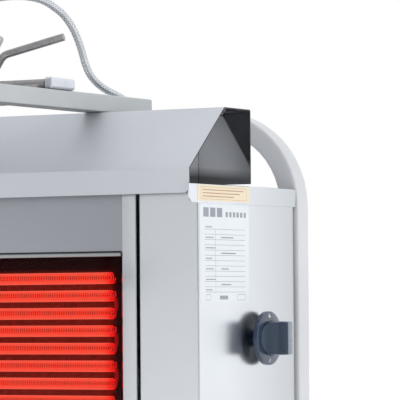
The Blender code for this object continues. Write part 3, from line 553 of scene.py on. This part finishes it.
def make_finishes():
    knob_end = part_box("heat_knob_1")[1].x
    finishes = {
        "satin_steel": steel("satin_steel", (0.60, 0.625, 0.665), 0.36, "X"),
        "hood_steel": hood_steel("hood_steel", (0.70, 0.715, 0.76), 0.52, 0.06, HOOD_MIDDLE),
        "polished_steel": steel("polished_steel", (0.70, 0.715, 0.735), 0.20, "Z", 0.04, 0.00001),
        # panel_steel is a darker copy of the satin steel: painted shade on the upper panel under the hood
        "panel_steel": steel("panel_steel", (0.40, 0.415, 0.445), 0.34, "X"),
        "side_steel": steel("side_steel", (0.73, 0.75, 0.775), 0.22, "X", painted_shade_from=0.12),
        "bulkhead_steel": bulkhead_steel("bulkhead_steel", (0.62, 0.63, 0.65), BAND_HIGH.z),
        "frame_paint": paint("frame_paint", (0.70, 0.705, 0.72), 0.42),
        "rail_paint": paint("rail_paint", (0.55, 0.57, 0.575), 0.5, painted_shade_below=0.40),
        "bare_rod": bare_metal("bare_rod", (0.42, 0.405, 0.41), 0.42),
        "shoe_zinc": bare_metal("shoe_zinc", (0.70, 0.71, 0.75), 0.40, dark=0.92),
        "knob_plastic": plastic(
            "knob_plastic", (0.024, 0.047, 0.090), 0.30, coat=0.45, painted_highlight_from=knob_end - 0.0007
        ),
        "rubber": plastic("rubber", (0.030, 0.030, 0.031), 0.72, 1500),
        "black_nylon": plastic("black_nylon", (0.028, 0.029, 0.032), 0.45),
        "plated_brass": bare_metal("plated_brass", (0.66, 0.63, 0.56), 0.26, dark=0.9),
        "gear_steel": bare_metal("gear_steel", (0.40, 0.40, 0.41), 0.34, dark=0.75),
        "bearing_bronze": bare_metal("bearing_bronze", (0.55, 0.38, 0.19), 0.36, dark=0.8),
        "cable_braid": bare_metal("cable_braid", (0.74, 0.76, 0.78), 0.30, pits=2500, dark=0.85),
        "bar_steel": steel("bar_steel", (0.42, 0.435, 0.43), 0.40, "X"),
    }
    glass = Finish("heater_glass", (0.60, 0.22, 0.24), 0.03, 0.0, Transmission_Weight=1.0, IOR=1.14)
    glass.rough(glass.noise(30, detail=4.0), 0.02, 0.06)
    finishes["heater_glass"] = glass.material
    for zone in range(1, ZONES + 1):
        board = f"ceramic_board_{zone}"
        finishes[board] = ceramic_board(board, *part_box(f"heating_element_{zone}"))
    wire = Finish("heating_wire", (0.10, 0.03, 0.02), 0.6, 0.0)
    wire.glow(1.50, 0.40, 0.1475, 0.1525)
    wire.hue((1.0, 0.16, 0.075), (1.0, 0.40, 0.23), (1.0, 0.018, 0.018), 0.138, 0.147)
    wire.relief(wire.noise(1500, detail=3.0), 0.3, 0.0001)
    finishes["heating_wire"] = wire.material
    finishes["label_paper"] = label_paper("label_paper", (0.81, 0.85, 0.87))
    finishes["strip_paper"] = label_paper("strip_paper", (0.88, 0.755, 0.56))
    finishes["grey_ink"] = plastic("grey_ink", (0.34, 0.36, 0.40), 0.5)
    finishes["brown_ink"] = plastic("brown_ink", (0.60, 0.36, 0.22), 0.5)
    finishes["white_print"] = plastic("white_print", (0.86, 0.87, 0.88), 0.5)
    return finishes


def make_floor_finish():
    floor = Finish("studio_floor", (0.93, 0.93, 0.93), 0.6)
    floor.shader.inputs["Emission Color"].default_value = (1.0, 1.0, 1.0, 1.0)
    floor.shader.inputs["Emission Strength"].default_value = 0.30
    floor.shade(floor.noise(3, detail=3.0), (0.91, 0.91, 0.91))
    return floor.material


def smooth_group(angle):
    """A node group that shades a mesh smooth and keeps edges over an angle sharp."""
    group = bpy.data.node_groups.new("smooth_by_angle", "GeometryNodeTree")
    group.interface.new_socket("Geometry", in_out="INPUT", socket_type="NodeSocketGeometry")
    group.interface.new_socket("Geometry", in_out="OUTPUT", socket_type="NodeSocketGeometry")
    nodes, links = group.nodes, group.links
    start, end = nodes.new("NodeGroupInput"), nodes.new("NodeGroupOutput")
    faces, edges = nodes.new("GeometryNodeSetShadeSmooth"), nodes.new("GeometryNodeSetShadeSmooth")
    edges.domain = "EDGE"
    turn = nodes.new("GeometryNodeInputMeshEdgeAngle")
    flat = nodes.new("FunctionNodeCompare")
    flat.operation = "LESS_THAN"
    flat.inputs[1].default_value = angle
    links.new(turn.outputs["Unsigned Angle"], flat.inputs[0])
    links.new(start.outputs[0], faces.inputs["Geometry"])
    links.new(faces.outputs["Geometry"], edges.inputs["Geometry"])
    links.new(flat.outputs[0], edges.inputs["Shade Smooth"])
    links.new(edges.outputs["Geometry"], end.inputs[0])
    return group


def finish_nodes(finishes):
    """Gives each CAD node its finish and softened edges."""
    shading = smooth_group(math.radians(32))
    for entry in frame["record"]["subparts"]:
        node = frame["nodes"][entry["node"]]
        finish = finishes[OWN_FINISH.get(entry["node"], entry["material_slot"])]
        for k in range(len(node.data.materials)):
            node.data.materials[k] = finish
        weld = node.modifiers.new("weld", "WELD")
        weld.merge_threshold = 1e-5
        smooth = node.modifiers.new("shading", "NODES")
        smooth.node_group = shading
        edge = node.modifiers.new("soft edges", "BEVEL")
        edge.width = 0.0003
        edge.segments = 2
        edge.limit_method = "ANGLE"
        edge.angle_limit = math.radians(38)
        flats = node.modifiers.new("flat faces", "WEIGHTED_NORMAL")
        flats.mode = "FACE_AREA"
        flats.weight = 100
        flats.keep_sharp = True


# Motor cable


def make_cable(finishes):
    """The braided cable: a core and two crossing sets of flat strands."""
    radius = CABLE_DIAMETER / 2
    line = smooth_route(CABLE_ROUTE, 0.0007)
    _, side, up = line_frames(line)
    distance = np.arange(len(line)) * route_length(line) / (len(line) - 1)
    parts = [tube_parts(line[::4], circle(radius - 0.0009, 12))]
    twist = math.tau / LAY_LENGTH
    width = 0.90 * math.tau * radius / STRANDS * math.cos(math.atan(twist * radius))
    for hand in (1, -1):
        for strand in range(STRANDS):
            angle = math.tau * strand / STRANDS + hand * twist * distance
            outward = np.cos(angle)[:, None] * side + np.sin(angle)[:, None] * up
            around = -np.sin(angle)[:, None] * side + np.cos(angle)[:, None] * up
            wave = hand * STRAND_WAVE * np.cos(STRANDS * twist * distance)
            middle = radius - STRAND_WAVE - STRAND_THICKNESS + wave
            rings = [
                line + outward * (middle + height * STRAND_THICKNESS)[:, None] + around * (across * width)
                for across, height in STRAND_PROFILE
            ]
            vertices = np.stack(rings, axis=1).reshape(-1, 3)
            parts.append((vertices, sweep_faces(len(line), len(STRAND_PROFILE))))
    vertices, faces = merge_parts(parts)
    sharp = math.radians(60)
    cable = mesh_object("motor_cable_braid", vertices, faces, [finishes["cable_braid"]], True, sharp)
    tidy_normals(cable)
    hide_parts("motor_cable")
    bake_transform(cable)


# Heating elements


def element_path(low, high):
    """The serpentine of one zone, row by row from the top, in the vertical plane of its tube."""
    y = (low.y + high.y) / 2
    radius = (high.y - low.y) / 2
    turn = (high.z - low.z - 2 * radius) / (2 * (ROWS_PER_ZONE - 1))
    reach = high.x - LINK_DEPTH - radius * LINK_SHARE
    path = []
    for row in range(ROWS_PER_ZONE):
        z = high.z - radius - 2 * turn * row
        direction = -1 if row % 2 == 0 else 1
        path.append([(-direction * reach, y, z), (direction * reach, y, z)])
        if row < ROWS_PER_ZONE - 1:
            arc = [math.pi * k / 24 for k in range(1, 24)]
            path.append([
                (direction * (reach + LINK_DEPTH * math.sin(a)), y, z - turn + turn * math.cos(a))
                for a in arc
            ])
    return resample(np.array([point for stretch in path for point in stretch]), 0.0005)


def make_elements(finishes):
    """One wound resistance wire for each zone, laid in rows."""
    for zone in range(1, ZONES + 1):
        low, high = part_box(f"heating_element_{zone}")
        line = element_path(low, high)
        _, side, up = line_frames(line)
        coil_radius = (high.y - low.y) / 2 - WIRE_RADIUS
        steps = int(route_length(line) / COIL_PITCH) * COIL_STEPS
        at = np.linspace(0, len(line) - 1, steps + 1)
        index = np.arange(len(line))
        centre, sideways, upwards = (
            np.stack([np.interp(at, index, field[:, axis]) for axis in range(3)], axis=1)
            for field in (line, side, up)
        )
        angle = math.tau * np.arange(steps + 1) / COIL_STEPS
        link = np.clip((np.abs(centre[:, 0]) - high.x + LINK_DEPTH + 0.0025) / 0.003, 0, 1)
        narrowed = (coil_radius * (1 - (1 - LINK_SHARE) * link * link * (3 - 2 * link)))[:, None]
        helix = centre + narrowed * (np.cos(angle)[:, None] * sideways + np.sin(angle)[:, None] * upwards)
        vertices, faces = tube_parts(helix, circle(WIRE_RADIUS, WIRE_SIDES))
        coil = mesh_object(f"element_coil_{zone}", vertices, faces, [finishes["heating_wire"]], True, None)
        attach(coil, "frame")
        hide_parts(f"heating_element_{zone}")


# Knobs


def lathe_parts(profile, centre, steps):
    """A solid turned round an X axis through centre. Profile holds (radius, distance along X), and starts
    and ends on the axis."""
    vertices, faces = [], []
    inner = profile[1:-1]
    for radius, reach in inner:
        vertices += [(centre[0] + reach, centre[1] + y, centre[2] + z) for y, z in circle(radius, steps)]
    first, last = len(vertices), len(vertices) + 1
    vertices.append((centre[0] + profile[0][1], centre[1], centre[2]))
    vertices.append((centre[0] + profile[-1][1], centre[1], centre[2]))
    for ring in range(len(inner) - 1):
        for k in range(steps):
            a, b = ring * steps + k, ring * steps + (k + 1) % steps
            faces.append((a, a + steps, b + steps, b))
    for k in range(steps):
        following = (k + 1) % steps
        faces.append((first, k, following))
        base = (len(inner) - 1) * steps
        faces.append((last, base + following, base + k))
    return vertices, faces


def grip_parts(centre, low, high, hub_radius, half_width, scoop_high):
    """The grip: a round hub whose two sides are scooped away to leave a bar, in sections along X."""
    edge = 0.0011
    sections = []
    for k in range(15):
        t = k / 14
        x = low + (scoop_high - low) * t
        widening = 1 - math.sqrt(max(0.0, 1 - (1 - t) ** 2))
        sections.append((x, half_width + (hub_radius * 0.985 - half_width) * widening, hub_radius))
    taper = 0.0007
    sections.append((high - edge, half_width - taper, hub_radius - taper))
    for k in range(1, 5):
        a = math.pi / 2 * k / 4
        inset = edge * (1 - math.cos(a))
        x = high - edge + edge * math.sin(a)
        sections.append((x, half_width - taper - inset, hub_radius - taper - inset))
    rings = []
    for x, width, radius in sections:
        half_angle = math.asin(min(0.999, width / radius))
        arc = [math.pi / 2 - half_angle + 2 * half_angle * k / 12 for k in range(13)]
        top = [(radius * math.cos(a), radius * math.sin(a)) for a in arc]
        bottom = [(-y, -z) for y, z in top]
        outline = top + between(top[-1], bottom[0], 8) + bottom + between(bottom[-1], top[0], 8)
        rings.append([(centre[0] + x, centre[1] + y, centre[2] + z) for y, z in outline])
    return [p for ring in rings for p in ring], sweep_faces(len(rings), len(rings[0]))


def between(start, end, steps):
    return [
        tuple(s + (e - s) * k / steps for s, e in zip(start, end))
        for k in range(1, steps)
    ]


def make_knob(name, body, sizes, finishes):
    """A knob in one moulding: a short shaft, a disc with a rim turned back at its edge, and a grip on it.
    Its two marks are a triangle at the top and a tick at the bottom."""
    disc_radius, stand_off, hub_radius = sizes
    low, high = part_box(name)
    panel = SIDE_HIGH.x
    centre = (panel, (low.y + high.y) / 2, (low.z + high.z) / 2)
    scale = disc_radius / HEAT_KNOB[0]
    groove = 0.0011 * scale
    profile = [
        (0, stand_off - groove), (hub_radius + 0.0002, stand_off - groove),
        (hub_radius + 0.0010 * scale, stand_off - groove), (hub_radius + 0.0013 * scale, stand_off),
        (disc_radius - 0.0005, stand_off), (disc_radius - 0.0001, stand_off - 0.0002),
        (disc_radius, stand_off - 0.0006), (disc_radius, stand_off - 0.0052 * scale),
        (disc_radius - 0.0009, stand_off - 0.0060 * scale),
        (disc_radius - 0.0026 * scale, stand_off - 0.0060 * scale),
        (disc_radius - 0.0036 * scale, stand_off - 0.0030 * scale),
        (disc_radius * 0.36, stand_off - 0.0030 * scale), (disc_radius * 0.30, stand_off - 0.0040 * scale),
        (disc_radius * 0.29, 0.0006), (0, 0.0006),
    ]
    tip = high.x - panel
    vertices, faces = merge_parts([
        lathe_parts(profile, centre, 96),
        grip_parts(centre, stand_off - groove - 0.0004, tip, hub_radius, 0.2076 * disc_radius, tip * 0.80),
    ])
    sharp = math.radians(40)
    knob = mesh_object(f"{name}_moulding", vertices, faces, [finishes["knob_plastic"]], True, sharp)
    tidy_normals(knob)
    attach(knob, body)
    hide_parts(name)

    top, size = disc_radius * 0.925, disc_radius * 0.155
    triangle = [(-size * 0.35, top), (size * 0.65, top - size), (-size * 0.55, top - size)]
    lean, half = 0.0013, 0.0008
    low_end, high_end = -disc_radius * 0.90, -disc_radius * 0.765
    tick = [
        (-lean - half, low_end), (-lean + half, low_end), (lean + half, high_end), (lean - half, high_end)
    ]
    face = centre[0] + stand_off
    for mark, outline in (("pointer", triangle), ("tick", tick)):
        outline = [(centre[1] + y, centre[2] + z) for y, z in outline]
        vertices, faces = plate_parts(outline, face + 0.00001, face + 0.00012)
        printed = mesh_object(f"{name}_{mark}", vertices, faces, [finishes["white_print"]])
        tidy_normals(printed)
        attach(printed, body)


def tidy_normals(item):
    shape = bmesh.new()
    shape.from_mesh(item.data)
    bmesh.ops.recalc_face_normals(shape, faces=shape.faces)
    shape.to_mesh(item.data)
    shape.free()


def make_knobs(finishes):
    for zone in range(1, ZONES + 1):
        make_knob(f"heat_knob_{zone}", f"knob_{zone}", HEAT_KNOB, finishes)
    make_knob("motor_switch", "switch", MOTOR_SWITCH, finishes)


def make_shadow_gap_cord(finishes):
    """A black rubber cord between the upper panel and the first window bar, as painted shade of the gap
    there.
    """
    low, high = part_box("upper_panel")
    radius, y, z = 0.0008, low.y - 0.0009, low.z + 0.0011
    inset = 0.002
    line = [(low.x + inset, y, z), (0.0, y, z), (high.x - inset, y, z)]
    # painted shade: a dark cord laid in the shadow gap under the upper panel
    vertices, faces = tube_parts(line, circle(radius, 10))
    gap_cord = mesh_object("window_shadow_cord", vertices, faces, [finishes["rubber"]], True, math.radians(50))
    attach(gap_cord, "frame")


def screw_parts(place, direction, radius):
    """A button head with a hexagon socket, standing on a face. Direction is the way it looks."""
    height, socket, steps = radius * 0.55, radius * 0.50, 24
    dome = [(radius * math.cos(a), height * math.sin(a)) for a in np.linspace(0, math.radians(62), 6)]
    bore = [(socket, height * 0.97), (socket, height * 0.30), (0.0002, height * 0.28)]
    profile = [(radius, -0.0002), *dome, *bore]
    up = Vector(direction)
    side = up.orthogonal().normalized()
    other = up.cross(side)
    vertices = []
    for k, (reach, rise) in enumerate(profile):
        for step in range(steps):
            angle = math.tau * step / steps
            corner = math.cos(math.pi / 6) / math.cos(angle % (math.pi / 3) - math.pi / 6)
            around = reach * (corner if k >= len(profile) - len(bore) else 1.0)
            outwards = side * math.cos(angle) + other * math.sin(angle)
            vertices.append(Vector(place) + up * rise + outwards * around)
    return vertices, sweep_faces(len(profile), steps)


def make_screws(finishes):
    """Screw heads that are seen from behind, from above and low down at the front."""
    back, base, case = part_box("back_panel"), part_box("base_plinth"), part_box("gearbox_case")
    skirt, strip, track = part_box("lower_panel"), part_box("window_strip_right"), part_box("bearing_rail")
    lid_inset = 0.008
    rear = [(x, back[1].y, z) for x in (-0.234, 0.234) for z in (0.100, 0.340, 0.580, 0.820)]
    rear += [(0.0, back[1].y, z) for z in (0.100, 0.820)]
    ends = [(side * base[1].x, y, 0.052) for side in (-1, 1) for y in (-0.270, 0.290)]
    front = [(x, skirt[0].y, 0.114) for x in (-0.150, 0.150)]
    front += [(side * (strip[0].x + strip[1].x) / 2, strip[0].y, 0.100) for side in (-1, 1)]
    top = [(0.0, y, track[1].z) for y in (-0.302, 0.034)]
    lid = [
        (x, y, case[1].z)
        for x in (case[0].x + lid_inset, case[1].x - lid_inset)
        for y in (case[0].y + lid_inset, case[1].y - lid_inset)
    ]
    groups = [
        ("rear_screws", "frame", [(at, (0, 1, 0), BIG_SCREW) for at in rear]),
        ("plinth_screws", "frame", [(at, (math.copysign(1, at[0]), 0, 0), BIG_SCREW) for at in ends]),
        ("front_screws", "frame", [(at, (0, -1, 0), SMALL_SCREW) for at in front]),
        ("track_screws", "frame", [(at, (0, 0, 1), SMALL_SCREW) for at in top]),
        ("case_screws", "carriage", [(at, (0, 0, 1), SMALL_SCREW) for at in lid]),
    ]
    for name, body, screws in groups:
        vertices, faces = merge_parts([screw_parts(*screw) for screw in screws])
        heads = mesh_object(name, vertices, faces, [finishes["shoe_zinc"]], True, math.radians(40))
        tidy_normals(heads)
        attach(heads, body)


# Labels


def rounded_outline(low, high, radius, steps=6):
    outline = []
    corners = [
        (high[0] - radius, high[1] - radius, 0), (low[0] + radius, high[1] - radius, 90),
        (low[0] + radius, low[1] + radius, 180), (high[0] - radius, low[1] + radius, 270),
    ]
    for y, z, start in corners:
        for k in range(steps + 1):
            a = math.radians(start + 90 * k / steps)
            outline.append((y + radius * math.cos(a), z + radius * math.sin(a)))
    return outline


def plate_parts(outline, x0, x1):
    """A flat plate between two places along X, with an outline in (Y, Z)."""
    count = len(outline)
    vertices = [(x, y, z) for x in (x0, x1) for y, z in outline]
    faces = [tuple(range(count - 1, -1, -1)), tuple(range(count, 2 * count))]
    faces += [(k, (k + 1) % count, count + (k + 1) % count, count + k) for k in range(count)]
    return vertices, faces


def make_label(name, low, high, surface, marks, paper, ink):
    """A sticker on the right side, and its print as thin bars. Marks are (y0, z0, y1, z1) from its low
    corner."""
    top, print_height = surface + 0.00016, 0.00003
    vertices, faces = plate_parts(rounded_outline(low, high, 0.0018), surface + 0.00002, top)
    sheet = mesh_object(name, vertices, faces, [paper])
    tidy_normals(sheet)
    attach(sheet, "frame")
    parts = []
    for y0, z0, y1, z1 in marks:
        outline = [(low[0] + y0, low[1] + z0), (low[0] + y1, low[1] + z0),
                   (low[0] + y1, low[1] + z1), (low[0] + y0, low[1] + z1)]
        parts.append(plate_parts(outline, top, top + print_height))
    vertices, faces = merge_parts(parts)
    printed = mesh_object(f"{name}_print", vertices, faces, [ink])
    tidy_normals(printed)
    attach(printed, "frame")


def frame_marks(low, high, line):
    """Four thin marks round an empty box."""
    (y0, z0), (y1, z1) = low, high
    return [
        (y0, z0, y1, z0 + line), (y0, z1 - line, y1, z1),
        (y0, z0, y0 + line, z1), (y1 - line, z0, y1, z1),
    ]


def make_labels(finishes):
    """A data plate with an empty ruled form, and a strip with plain lines in a border, both without words."""
    width, height = 0.1215, 0.1165
    low = (SIDE_LOW.y + 0.0035, BAND_LOW.z - 0.0008 - height)
    high = (low[0] + width, low[1] + height)
    rows, row_height, line = 13, 0.0062, 0.00045
    marks = []
    # the ruled rows, with short dashes in place of words
    for row in range(rows):
        z = 0.012 + row * row_height
        marks.append((0.012, z, 0.112, z + line))
        if row % 2 == 0:
            marks.append((0.014, z + 0.0022, 0.030 + 0.004 * (row % 3), z + 0.0034))
        if row % 3 == 1:
            marks.append((0.052, z + 0.0022, 0.070 + 0.006 * (row % 4), z + 0.0036))
    # the upright rule, then three wide and six narrow blocks as a heading
    marks.append((0.038, 0.012, 0.038 + line, 0.0864))
    marks += [(0.009 + 0.0165 * k, 0.1010, 0.0220 + 0.0165 * k, 0.1120) for k in range(3)]
    marks += [(0.0635 + 0.0090 * k, 0.1015, 0.0690 + 0.0090 * k, 0.1075) for k in range(6)]
    # two empty boxes and a bar at the foot
    marks += frame_marks((0.092, 0.0025), (0.112, 0.0095), line)
    marks += frame_marks((0.014, 0.0025), (0.026, 0.0095), line)
    marks.append((0.048, 0.0035, 0.068, 0.0080))
    make_label("data_plate", low, high, SIDE_HIGH.x, marks, finishes["label_paper"], finishes["grey_ink"])

    # the narrow strip on the flange of the cap: a border and three lines
    low = (SIDE_LOW.y - 0.0046, BAND_HIGH.z - 0.0202)
    high = (SIDE_LOW.y + 0.1237, BAND_HIGH.z - 0.0012)
    marks = frame_marks((0.0085, 0.0022), (0.1210, 0.0168), 0.0004)
    for row, share in enumerate((0.74, 0.88, 0.97)):
        z = 0.0050 + row * 0.0038
        marks.append((0.0125, z, 0.0125 + 0.104 * share, z + 0.0013))
    make_label("strip_label", low, high, BAND_HIGH.x, marks, finishes["strip_paper"], finishes["brown_ink"])


make_camera()
make_world()
make_stage(make_floor_finish())
FINISHES = make_finishes()
finish_nodes(FINISHES)
make_cable(FINISHES)
make_elements(FINISHES)
make_knobs(FINISHES)
make_shadow_gap_cord(FINISHES)
make_screws(FINISHES)
make_labels(FINISHES)
